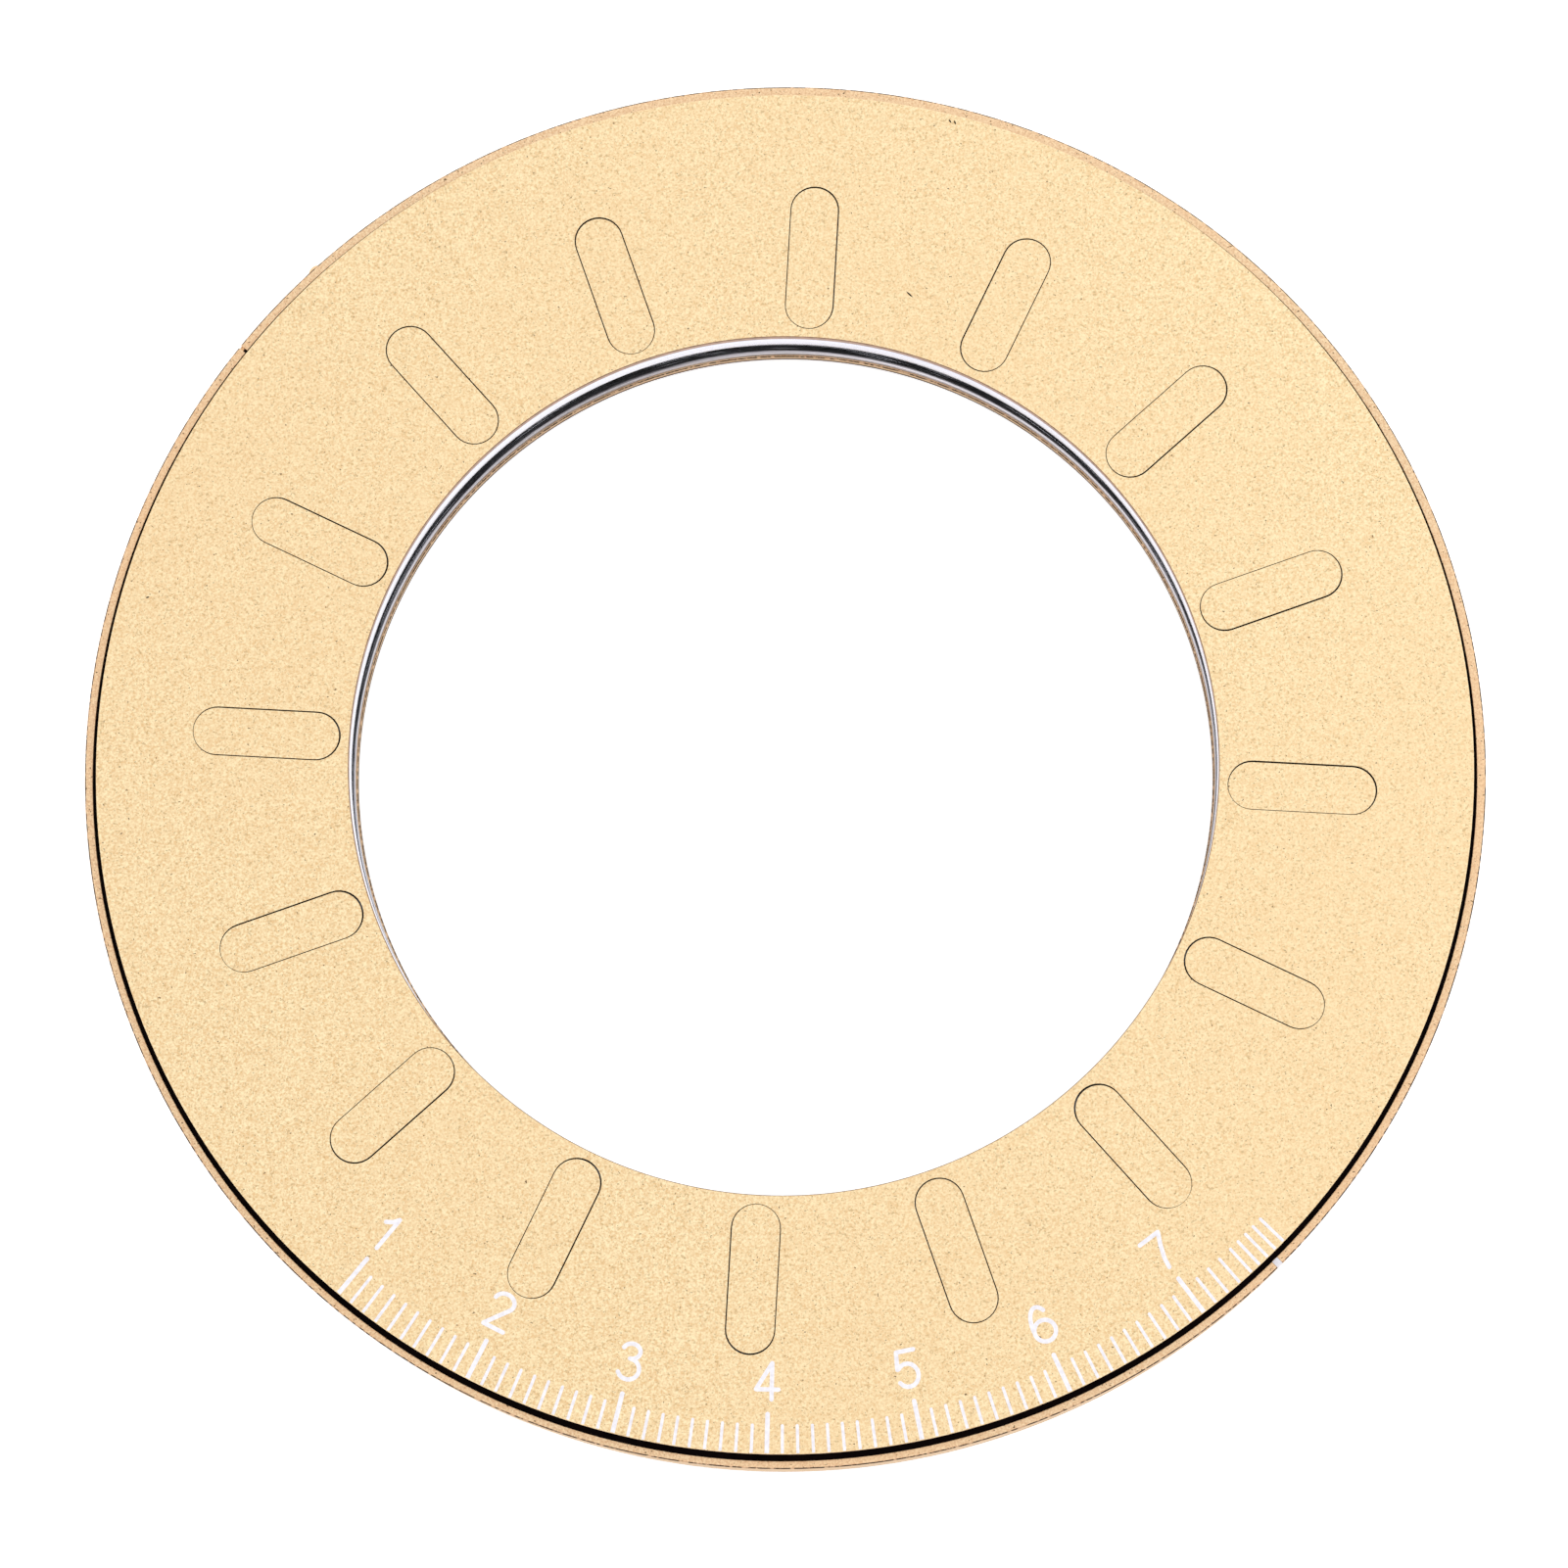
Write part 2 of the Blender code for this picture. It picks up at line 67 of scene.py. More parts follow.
# The scale runs anticlockwise, and was printed about a centre a little off the dial's axis
SCALE_FIRST = 1
SCALE_LAST_LABEL = 7
SCALE_START_ANGLE = 230.47
TICK_PITCH = 1.2735
EVEN_TICKS = 64
WIDE_OPEN_TICKS = 4
WIDE_OPEN_PITCH = 0.915
SCALE_LEAN = 1.6
SCALE_LEAN_ANGLE = 276.0
LONG_TICK_INNER = 55.10
SHORT_TICK_INNER = 56.14
TICK_OUTER_MARGIN = 0.07
SHORT_TICK_WIDTH = 0.27
LONG_TICK_WIDTH = 0.40
FIGURE_CENTRE = 52.49
FIGURE_STROKE = 0.38
PAINT_THICKNESS = 0.012
PAINT_ROOT = 0.004

# Small scratches in the dial's face: radius, angle, length and how far each turns from the radius
SCRATCHES = (
    (43.38, 75.0, 0.85, 62.0),
    (59.68, 75.55, 0.40, 47.0),
    (59.66, 75.10, 0.45, 33.0),
    (57.97, 165.2, 0.35, 30.0),
)
SCRATCH_WIDTH = 0.13

# The lip of the rim stands a little off the dial's axis, so the gap is widest at the front left
LIP_SHIFT = 0.09
LIP_SHIFT_ANGLE = 240.0

# Each cover lies a little off the middle of its slot
COVER_PLAY = 0.055
COVER_SEED = 7

# The leaves' outline and climb, as the CAD leaves have them, and how far the painted light along
# their inner edge reaches
GUIDE_PIN_LEAD = 142.0
LEAF_END_REACH = 6.0
LEAF_END_BLUNTNESS = 1.08
LEAF_STATIONS = 96
LEAF_END_STATIONS = 8
LEAF_MAP = "along_leaf"
LEAF_LIT_EDGE = 1.8
CLIMB_CENTRE = 68.5
CLIMB_SPREAD = 14.0

# Where the camera stands about the middle of the dial's face, and its lens
CAMERA_TILT = 9.522
CAMERA_TURN = -82.143
CAMERA_DISTANCE_IN_DIAL_RADII = 7.8116
CAMERA_PAN = -0.0109
CAMERA_RISE = 0.2510
CAMERA_LENS = 123.6


# ---------------------------------------------------------------- measuring the frame


def node_points(name):
    """A node's vertices in millimetres."""
    return np.array([vertex.co for vertex in frame["nodes"][name].data.vertices]) / MM


def node_shape(name):
    """A ring node's inner radius, outer radius, bottom and top in millimetres."""
    points = node_points(name)
    radii = np.hypot(points[:, 0], points[:, 1])
    return radii.min(), radii.max(), points[:, 2].min(), points[:, 2].max()


def top_radii(name):
    """Inner and outer radius of a ring's top face."""
    points = node_points(name)
    tolerance = 0.01
    top = points[points[:, 2] > points[:, 2].max() - tolerance]
    radii = np.hypot(top[:, 0], top[:, 1])
    return radii.min(), radii.max()


def cover_shape(name):
    """A cover's angle, inner and outer radius and width, in degrees and millimetres."""
    points = node_points(name)
    middle = points.mean(axis=0)
    angle = math.atan2(middle[1], middle[0])
    along = points[:, 0] * math.cos(angle) + points[:, 1] * math.sin(angle)
    across = points[:, 1] * math.cos(angle) - points[:, 0] * math.sin(angle)
    return math.degrees(angle), along.min(), along.max(), 2 * np.abs(across).max()


COVERS = [f"slot_cover_{number:02d}" for number in range(1, LEAF_COUNT + 1)]
BORE, DIAL_RADIUS, DIAL_BOTTOM, DIAL_TOP = node_shape("dial_plate")
_, FLANGE_RADIUS, SLOT_RING_BOTTOM, SLOT_RING_TOP = node_shape("slot_ring")
SLOT_RING_RADIUS = top_radii("slot_ring")[1]
_, PIVOT_RING_RADIUS, PIVOT_RING_BOTTOM, STUD_TOP = node_shape("pivot_ring")
FLOOR_BORE, TRAY_RADIUS, _, RIM_TOP = node_shape("base_tray")
RETAINER_INNER, RETAINER_OUTER, RETAINER_BOTTOM, RETAINER_TOP = node_shape("retaining_ring")
_, _, SPACER_BOTTOM, _ = node_shape("spacer_ring")
LEAF_INNER, LEAF_OUTER, LEAF_LOWEST, LEAF_HIGHEST = node_shape("leaf_01")
COVER_ANGLES = [cover_shape(name)[0] for name in COVERS]
_, COVER_INNER, COVER_OUTER, COVER_WIDTH = cover_shape(COVERS[0])

COVER_HAIRLINE = 0.09
SEAT_GAP = 0.05
GROOVE_GAP = 0.06
LEAF_THICKNESS = 0.05
FLOOR_TOP = PIVOT_RING_BOTTOM - SEAT_GAP
PIVOT_RING_TOP = SPACER_BOTTOM - SEAT_GAP
RIM_INNER = top_radii("base_tray")[0]
GROOVE_RADIUS = RETAINER_OUTER + GROOVE_GAP


# ---------------------------------------------------------------- mesh helpers


def polar(radius, angle, height=0.0):
    """A point in metres from a radius and a height in millimetres and an angle in degrees."""
    turn = math.radians(angle)
    return Vector((radius * math.cos(turn), radius * math.sin(turn), height)) * MM


def mesh_from(bm, name, sharp=SHARP_ANGLE):
    """Weld and orient a built shape, and hand it over as a mesh."""
    bmesh.ops.remove_doubles(bm, verts=bm.verts, dist=1e-7)
    bmesh.ops.recalc_face_normals(bm, faces=bm.faces)
    mesh = bpy.data.meshes.new(name)
    bm.to_mesh(mesh)
    bm.free()
    shade(mesh, sharp)
    return mesh


def shade(mesh, sharp=SHARP_ANGLE):
    """Round faces smooth, level faces flat."""
    mesh.shade_smooth()
    mesh.set_sharp_from_angle(angle=math.radians(sharp))
    for face in mesh.polygons:
        if abs(face.normal.z) > LEVEL:
            face.use_smooth = False


def is_upright(face):
    return abs(face.normal.z) < UPRIGHT


def add_piece(name, mesh, *materials):
    piece = bpy.data.objects.new(name, mesh)
    bpy.context.scene.collection.objects.link(piece)
    for material in materials:
        mesh.materials.append(material)
    return piece


def section(corners, fillet_steps=3):
    """Points of a closed section with its corners rounded, and which of its sides are fillets.

    Each corner is (radius, height, fillet radius).
    """
    points, fillets = [], []
    count = len(corners)
    for index, (radius, height, fillet) in enumerate(corners):
        here = Vector((radius, height))
        if not fillet:
            points.append(tuple(here))
            fillets.append(0)
            continue
        before = (Vector(corners[index - 1][:2]) - here).normalized()
        after = (Vector(corners[(index + 1) % count][:2]) - here).normalized()
        half_angle = before.angle(after) / 2
        centre = here + (before + after).normalized() * fillet / math.sin(half_angle)
        first = here + before * fillet / math.tan(half_angle) - centre
        last = here + after * fillet / math.tan(half_angle) - centre
        for step in range(fillet_steps + 1):
            swing = first.lerp(last, step / fillet_steps).normalized() * fillet
            points.append(tuple(centre + swing))
            fillets.append(1 if step < fillet_steps else 0)
    return points, fillets


def turned(name, corners, steps=RING_STEPS, start=0.0, sweep=FULL_TURN):
    """Turn a closed section about Z. The fillets take the second material."""
    points, fillets = section(corners)
    closed = sweep == FULL_TURN
    bm = bmesh.new()
    rows = []
    for step in range(steps + (not closed)):
        angle = start + sweep * step / steps
        rows.append([bm.verts.new(polar(radius, angle, height)) for radius, height in points])
    following = rows[1:] + rows[:1] if closed else rows[1:]
    for row, after in zip(rows, following):
        for low, fillet in enumerate(fillets):
            high = (low + 1) % len(points)
            face = bm.faces.new((row[low], row[high], after[high], after[low]))
            face.material_index = fillet
    if not closed:
        bm.faces.new(rows[0])
        bm.faces.new(rows[-1])
    return mesh_from(bm, name)


def thicken(bm, faces, height):
    """Make a closed plate of flat faces by extruding them upwards."""
    grown = bmesh.ops.extrude_face_region(bm, geom=list(faces), use_keep_orig=True)
    raised = [item for item in grown["geom"] if isinstance(item, bmesh.types.BMVert)]
    bmesh.ops.translate(bm, verts=raised, vec=(0, 0, height * MM))


def extrude_outline(bm, outline, bottom, top):
    base = [bm.verts.new((x, y, bottom * MM)) for x, y in outline]
    thicken(bm, [bm.faces.new(base)], top - bottom)


def add_rod(bm, radius, length, place):
    """A plain round rod about its own middle, for studs and holes."""
    bmesh.ops.create_cone(
        bm,
        cap_ends=True,
        segments=ROD_STEPS,
        radius1=radius * MM,
        radius2=radius * MM,
        depth=length * MM,
        matrix=place,
    )


def slot_outline(angle, margin, end_steps=16):
    """A radial slot with round ends, grown by margin all round from the cover's own outline."""
    half = COVER_WIDTH / 2 + margin
    ends = ((COVER_OUTER - COVER_WIDTH / 2, -90.0), (COVER_INNER + COVER_WIDTH / 2, 90.0))
    turn = Matrix.Rotation(math.radians(angle), 2)
    outline = []
    for centre, first in ends:
        for step in range(end_steps + 1):
            around = math.radians(first + 180.0 * step / end_steps)
            point = Vector((centre + half * math.cos(around), half * math.sin(around)))
            outline.append(turn @ point * MM)
    return outline


def slots_mesh(name, margin, bottom, top):
    """All sixteen slots as one cutter."""
    bm = bmesh.new()
    for angle in COVER_ANGLES:
        extrude_outline(bm, slot_outline(angle, margin), bottom, top)
    return mesh_from(bm, name)


def boolean(piece, cutter_mesh, operation="DIFFERENCE"):
    """Cut or join a helper mesh, and keep only the result."""
    cutter = add_piece(cutter_mesh.name, cutter_mesh)
    modifier = piece.modifiers.new("boolean", "BOOLEAN")
    modifier.operation = operation
    modifier.solver = "EXACT"
    modifier.object = cutter
    apply_modifiers(piece)
    bpy.data.objects.remove(cutter, do_unlink=True)


def apply_modifiers(piece):
    """Replace a piece's mesh with its evaluated one."""
    graph = bpy.context.evaluated_depsgraph_get()
    graph.update()
    mesh = bpy.data.meshes.new_from_object(piece.evaluated_get(graph))
    piece.modifiers.clear()
    shade(mesh)
    piece.data = mesh


def chamfer(piece, width):
    """Break every sharp edge of a piece."""
    sharper_than = 50
    modifier = piece.modifiers.new("chamfer", "BEVEL")
    modifier.width = width * MM
    modifier.segments = 1
    modifier.limit_method = "ANGLE"
    modifier.angle_limit = math.radians(sharper_than)
    modifier.use_clamp_overlap = True
    apply_modifiers(piece)


# ---------------------------------------------------------------- materials


class Shader:
    """A Principled material with a few helpers to wire procedural nodes into it."""

    def __init__(self, name, metallic, roughness, specular=0.5):
        self.material = bpy.data.materials.new(name)
        self.material.use_nodes = True
        self.tree = self.material.node_tree
        self.surface = self.tree.nodes["Principled BSDF"]
        self.surface.inputs["Metallic"].default_value = metallic
        self.surface.inputs["Roughness"].default_value = roughness
        self.surface.inputs["Specular IOR Level"].default_value = specular
        self.place = self.tree.nodes.new("ShaderNodeTexCoord").outputs["Object"]

    def node(self, kind, **values):
        made = self.tree.nodes.new(kind)
        for key, value in values.items():
            setattr(made, key, value)
        return made

    def link(self, output, target):
        self.tree.links.new(output, target)

    def noise(self, scale, detail=2.0, roughness=0.5, stretch=(1, 1, 1)):
        mapping = self.node("ShaderNodeMapping")
        mapping.inputs["Scale"].default_value = stretch
        self.link(self.place, mapping.inputs["Vector"])
        made = self.node("ShaderNodeTexNoise")
        made.inputs["Scale"].default_value = scale
        made.inputs["Detail"].default_value = detail
        made.inputs["Roughness"].default_value = roughness
        self.link(mapping.outputs["Vector"], made.inputs["Vector"])
        return made.outputs["Fac"]

    def spread(self, value, low, high, to_low=0.0, to_high=1.0):
        """Carry a value lying between low and high over to another range."""
        made = self.node("ShaderNodeMapRange")
        made.inputs["From Min"].default_value = low
        made.inputs["From Max"].default_value = high
        made.inputs["To Min"].default_value = to_low
        made.inputs["To Max"].default_value = to_high
        self.link(value, made.inputs["Value"])
        return made.outputs["Result"]

    def blend(self, factor, first, second):
        """Mix two colours, or a wired colour and a colour."""
        made = self.node("ShaderNodeMix", data_type="RGBA")
        self.link(factor, made.inputs[0])
        for socket, colour in ((made.inputs[6], first), (made.inputs[7], second)):
            if isinstance(colour, tuple):
                socket.default_value = (*colour, 1.0)
            else:
                self.link(colour, socket)
        return made.outputs[2]

    def bump(self, height, strength, distance):
        made = self.node("ShaderNodeBump")
        made.inputs["Strength"].default_value = strength
        made.inputs["Distance"].default_value = distance * MM
        self.link(height, made.inputs["Height"])
        self.link(made.outputs["Normal"], self.surface.inputs["Normal"])

    def colour(self, output):
        self.link(output, self.surface.inputs["Base Color"])

    def rough(self, output):
        self.link(output, self.surface.inputs["Roughness"])


def blasted_gold(name, light, dark, patch, dimple, speckle):
    """Bead-blasted gold anodising: fine grain, faint clouds, shallow dimples and dark pits."""
    shader = Shader(name, 0.9, 0.5)
    grain = shader.noise(5200, detail=2.0, roughness=0.65)
    tone = shader.blend(shader.spread(grain, 0.34, 0.66), dark, light)
    clouds = shader.noise(28, detail=3.0)
    tone = shader.blend(shader.spread(clouds, 0.35, 0.70, 0.0, 0.35), tone, patch)
    dimples = shader.noise(4300, detail=1.0)
    tone = shader.blend(shader.spread(dimples, 0.60, 0.72, 0.0, 0.62), tone, dimple)
    pits = shader.noise(4700, detail=1.0)
    deepest, fade = 0.80, 0.05
    low = deepest - speckle
    tone = shader.blend(shader.spread(pits, low, low + fade), tone, (0.20, 0.12, 0.06))
    shader.colour(tone)
    shader.rough(shader.spread(grain, 0.3, 0.7, 0.42, 0.60))
    shader.bump(grain, 0.3, 0.02)
    return shader.material


def shaded_metal(name, metallic, light, dark):
    """Brown metal, mottled, painted as the shade along a turned edge or a cut wall."""
    shader = Shader(name, metallic, 0.45)
    shade_mottle = shader.noise(1400, detail=4.0)
    shader.colour(shader.blend(shader.spread(shade_mottle, 0.3, 0.7), dark, light))
    shader.rough(shader.spread(shade_mottle, 0.3, 0.7, 0.38, 0.60))
    shader.bump(shade_mottle, 0.2, 0.01)
    return shader.material


def turned_steel(name, light, dark, roughness, contrast):
    """Bright steel turned on a lathe: fine rings that run round the bore, one above the other.
    Where the dark tone is near black, it is painted shade.
    """
    shader = Shader(name, 1.0, roughness)
    rings = shader.noise(260, detail=5.0, roughness=0.7, stretch=(0.12, 0.12, 22.0))
    shader.colour(shader.blend(shader.spread(rings, 0.5 - contrast, 0.5 + contrast), dark, light))
    shader.rough(shader.spread(rings, 0.3, 0.7, roughness - 0.06, roughness + 0.12))
    shader.bump(rings, 0.25, 0.006)
    return shader.material


def leaf_steel():
    """Thin spring steel drawn along the leaf, with handling marks, its grey painted dark as the
    shade of the deep leaf zone, and painted light along its inner edge that fades to shade towards
    the outer edge under the next leaf.
    """
    shader = Shader("leaf_spring_steel", 1.0, 0.2)
    shader.place = shader.node("ShaderNodeUVMap", uv_map=LEAF_MAP).outputs["UV"]
    drawn = shader.noise(2600, detail=3.0, stretch=(0.02, 1.0, 1.0))
    marks = shader.noise(60, detail=4.0)
    # Painted shade: the steel's grey is kept dark, as the shade of the deep leaf zone
    tone = shader.blend(shader.spread(drawn, 0.3, 0.7), (0.12, 0.12, 0.13), (0.21, 0.21, 0.23))
    tone = shader.blend(shader.spread(marks, 0.35, 0.70, 0.0, 0.5), tone, (0.11, 0.11, 0.12))
    # Painted light along the inner edge, fading into painted shade towards the outer edge
    across = shader.node("ShaderNodeSeparateXYZ")
    shader.link(shader.place, across.inputs["Vector"])
    inner = LEAF_INNER * MM
    lit_edge = shader.spread(across.outputs["Y"], inner, inner + LEAF_LIT_EDGE * MM, 0.7, 0.0)
    tone = shader.blend(lit_edge, tone, (0.38, 0.38, 0.41))
    shader.colour(tone)
    shader.rough(shader.spread(marks, 0.3, 0.7, 0.16, 0.30))
    shader.bump(drawn, 0.12, 0.004)
    return shader.material


def painted_edge_glints():
    """Thin edges of the leaves: near-black painted shade, with bright lines of painted glints."""
    shader = Shader("leaf_edge_painted_glints", 0.0, 0.6, specular=0.1)
    lines = shader.noise(260, detail=3.0, stretch=(0.15, 0.15, 8.0))
    dark, bright = (0.012, 0.010, 0.012), (0.80, 0.80, 0.88)
    shader.colour(shader.blend(shader.spread(lines, 0.51, 0.57), dark, bright))
    shader.rough(shader.spread(lines, 0.3, 0.7, 0.45, 0.70))
    return shader.material


def painted_edge_shade():
    """Edge of the tray, painted with shade in a broken dark line."""
    shader = Shader("painted_edge_shade", 0.0, 0.6, specular=0.1)
    edge_breaks = shader.noise(2400, detail=3.0)
    dark, gold = (0.05, 0.025, 0.018), (0.66, 0.42, 0.26)
    shader.colour(shader.blend(shader.spread(edge_breaks, 0.50, 0.61), dark, gold))
    shader.rough(shader.spread(edge_breaks, 0.3, 0.7, 0.50, 0.75))
    shader.bump(edge_breaks, 0.2, 0.01)
    return shader.material


def matt_shade(name, light, dark):
    """Matt dark brown, painted as the shade in narrow gaps and as the contact shadow at a foot."""
    shader = Shader(name, 0.0, 0.7, specular=0.05)
    mottle = shader.noise(900, detail=3.0)
    shader.colour(shader.blend(shader.spread(mottle, 0.3, 0.7), dark, light))
    shader.rough(shader.spread(mottle, 0.3, 0.7, 0.55, 0.80))
    return shader.material


# Near-black steel: painted shade in the gap round the dial, and the dark colour of the scratches
# in the dial's face.
def black_shade_and_scratch_steel():
    shader = Shader("blackened_spring", 1.0, 0.5)
    mottle = shader.noise(800, detail=4.0)
    deep, faint = (0.003, 0.002, 0.002), (0.012, 0.007, 0.007)
    shader.colour(shader.blend(shader.spread(mottle, 0.3, 0.7), deep, faint))
    shader.rough(shader.spread(mottle, 0.3, 0.7, 0.42, 0.62))
    shader.bump(mottle, 0.2, 0.01)
    return shader.material


def white_paint():
    """Matt white filling, a little uneven where it was wiped into the marks."""
    shader = Shader("white_scale_paint", 0.0, 0.55)
    uneven = shader.noise(2600, detail=3.0)
    thin, full = (0.80, 0.74, 0.78), (0.93, 0.90, 0.95)
    shader.colour(shader.blend(shader.spread(uneven, 0.25, 0.6), thin, full))
    shader.rough(shader.spread(uneven, 0.3, 0.7, 0.45, 0.65))
    shader.bump(uneven, 0.2, 0.006)
    return shader.material


def pin_brass():
    shader = Shader("pin_brass", 1.0, 0.3)
    rings = shader.noise(300, detail=4.0, stretch=(1, 1, 12))
    dark, light = (0.50, 0.33, 0.12), (0.78, 0.56, 0.26)
    shader.colour(shader.blend(shader.spread(rings, 0.3, 0.7), dark, light))
    shader.rough(shader.spread(rings, 0.3, 0.7, 0.22, 0.38))
    shader.bump(rings, 0.2, 0.006)
    return shader.material


# ---------------------------------------------------------------- tray and its fittings


def index_corners(grow):
    """Section of the index notch: across the lip, then down the outer face."""
    mark = node_points("index_mark")
    radii = np.hypot(mark[:, 0], mark[:, 1])
    low, high = mark[:, 2].min(), mark[:, 2].max()
    near, beyond = 0.05, 1.0
    lip_low = mark[radii < radii.min() + near, 2].min()
    channel = radii[mark[:, 2] < low + near].min()
    inner, outer, top = radii.min() - beyond, radii.max() + beyond, high + beyond
    return [
        (channel - grow, low - grow, 0),
        (outer, low - grow, 0),
        (outer, top, 0),
        (inner, top, 0),
        (inner, lip_low - grow, 0),
        (channel - grow, lip_low - grow, 0),
    ]


def index_span(grow):
    """The index mark's first angle and sweep."""
    mark = node_points("index_mark")
    angles = np.degrees(np.arctan2(mark[:, 1], mark[:, 0]))
    extra = math.degrees(grow / TRAY_RADIUS)
    return angles.min() - extra, np.ptp(angles) + 2 * extra


def build_tray(gold, rim_edge_shade, wall, foot_shade):
    """Turned tray with rolled edges, the index notch, the nick and the stop pin's hole.

    Its fillets carry painted shade in a broken dark line, its upright walls a darker painted shade
    of the gold, and its bottom, foot and lowest bore a painted contact shadow.
    """
    foot, lip, inner_lip, corner, foot_shadow_height = 0.30, 0.10, 0.05, 0.08, 0.70
    corners = [
        (FLOOR_BORE, foot_shadow_height, 0),
        (FLOOR_BORE, 0.0, foot),
        (TRAY_RADIUS, 0.0, foot),
        (TRAY_RADIUS, RIM_TOP, lip),
        (RIM_INNER, RIM_TOP, inner_lip),
        (RIM_INNER, RETAINER_TOP + SEAT_GAP, 0),
        (GROOVE_RADIUS, RETAINER_TOP + SEAT_GAP, 0),
        (GROOVE_RADIUS, RETAINER_BOTTOM - SEAT_GAP, 0),
        (RIM_INNER, RETAINER_BOTTOM - SEAT_GAP, 0),
        (RIM_INNER, FLOOR_TOP, 0),
        (FLOOR_BORE, FLOOR_TOP, corner),
    ]
    shape = turned("base_tray_turned", corners)
    tray = add_piece("base_tray_turned", shape, gold, rim_edge_shade, wall, foot_shade)
    # Upright walls take painted shade, faces low on the bottom, foot and bore a painted contact
    # shadow, and the fillets a painted dark edge line, except the inner lip's fillet, which stays
    # gold.
    rim_depth = 1.0
    for face in shape.polygons:
        radius = face.center.xy.length / MM
        outer_wall = is_upright(face) and radius > TRAY_RADIUS - rim_depth
        if face.center.z < foot_shadow_height * MM and not outer_wall:
            face.material_index = 3
        elif is_upright(face):
            face.material_index = 2
        elif face.material_index == 1 and RIM_INNER - rim_depth < radius < RIM_INNER + inner_lip:
            face.material_index = 0
    shift_lip(tray.data, 2 * inner_lip)
    gap = 0.03
    start, sweep = index_span(gap)
    boolean(tray, turned("index_cutter", index_corners(gap), 2, start, sweep))
    boolean(tray, nick_cutter())
    boolean(tray, stop_hole_cutter())
    return tray


def shift_lip(mesh, reach):
    """Move the rim's inner wall above the spring, and the lip over it, a little to one side."""
    shift = polar(LIP_SHIFT, LIP_SHIFT_ANGLE)
    for vertex in mesh.vertices:
        above_spring = vertex.co.z > RETAINER_TOP * MM
        if above_spring and vertex.co.xy.length < (RIM_INNER + reach) * MM:
            vertex.co += shift


def nick_cutter():
    """The small nick in the rim's top edge, beside the stop pin."""
    nick_angle, width, depth, through = 142.0, 0.3, 0.5, 2.0
    bm = bmesh.new()
    place = (
        Matrix.Translation(polar(TRAY_RADIUS, nick_angle, RIM_TOP))
        @ Matrix.Rotation(math.radians(nick_angle), 4, "Z")
        @ Matrix.Diagonal((through * MM, width * MM, 2 * depth * MM, 1.0))
    )
    bmesh.ops.create_cube(bm, size=1.0, matrix=place)
    return mesh_from(bm, "nick_cutter")


def stop_place():
    """The stop pin's angle and height, its head's radius, and how far out the head reaches."""
    points = node_points("stop_pin")
    middle = points.mean(axis=0)
    low, high = points[:, 2].min(), points[:, 2].max()
    outermost = np.hypot(points[:, 0], points[:, 1]).max()
    angle = math.degrees(math.atan2(middle[1], middle[0]))
    return angle, (low + high) / 2, (high - low) / 2, outermost


def along_radius(angle, height):
    """Turn a shape made about Z to lie along a radius of the dial."""
    return (
        Matrix.Rotation(math.radians(angle), 4, "Z")
        @ Matrix.Translation((0, 0, height * MM))
        @ Matrix.Rotation(math.radians(90), 4, "Y")
    )


def stop_hole_cutter():
    angle, height, _, _ = stop_place()
    hole, through = 0.35, 2.0
    place = along_radius(angle, height) @ Matrix.Translation((0, 0, RIM_INNER * MM))
    bm = bmesh.new()
    add_rod(bm, hole, through, place)
    return mesh_from(bm, "stop_hole_cutter")


def build_stop_pin(gold):
    """Small pin with a domed head, pressed through the rim."""
    angle, height, head, outermost = stop_place()
    shank, gap, length, dome_steps = 0.30, 0.03, 2.2, 8
    seat = TRAY_RADIUS + gap
    proud = outermost - seat
    profile = [(0.0, seat - length), (shank, seat - length), (shank, seat), (head, seat)]
    for step in range(1, dome_steps):
        lift = math.pi / 2 * step / dome_steps
        profile.append((head * math.cos(lift), seat + proud * math.sin(lift)))
    profile.append((0.0, outermost))
    steps = 32
    bm = bmesh.new()
    rows = [
        [bm.verts.new(polar(radius, FULL_TURN * step / steps, z)) for radius, z in profile]
        for step in range(steps)
    ]
    for row, after in zip(rows, rows[1:] + rows[:1]):
        for low in range(len(profile) - 1):
            bm.faces.new((row[low], row[low + 1], after[low + 1], after[low]))
    mesh = mesh_from(bm, "stop_pin_domed", DOME_SHARP_ANGLE)
    mesh.transform(along_radius(angle, height))
    return add_piece("stop_pin_domed", mesh, gold)


def build_pivot_ring(steel):
    """Turned ring with the leaves' studs standing on it."""
    edge = 0.06
    corners = [
        (BORE, PIVOT_RING_BOTTOM, edge),
        (PIVOT_RING_RADIUS, PIVOT_RING_BOTTOM, edge),
        (PIVOT_RING_RADIUS, PIVOT_RING_TOP, edge),
        (BORE, PIVOT_RING_TOP, edge),
    ]
    ring = add_piece("pivot_ring_turned", turned("pivot_ring_turned", corners), steel, steel)
    stud, seated = 0.75, 0.8
    root = PIVOT_RING_TOP - seated
    bm = bmesh.new()
    for joint in frame["joints"]:
        if joint["child"] == "dial":
            continue
        x, y, _ = joint["pos_m"]
        middle = Vector((x, y, (root + STUD_TOP) / 2 * MM))
        add_rod(bm, stud, STUD_TOP - root, Matrix.Translation(middle))
    boolean(ring, mesh_from(bm, "stud_shapes"), "UNION")
    return ring


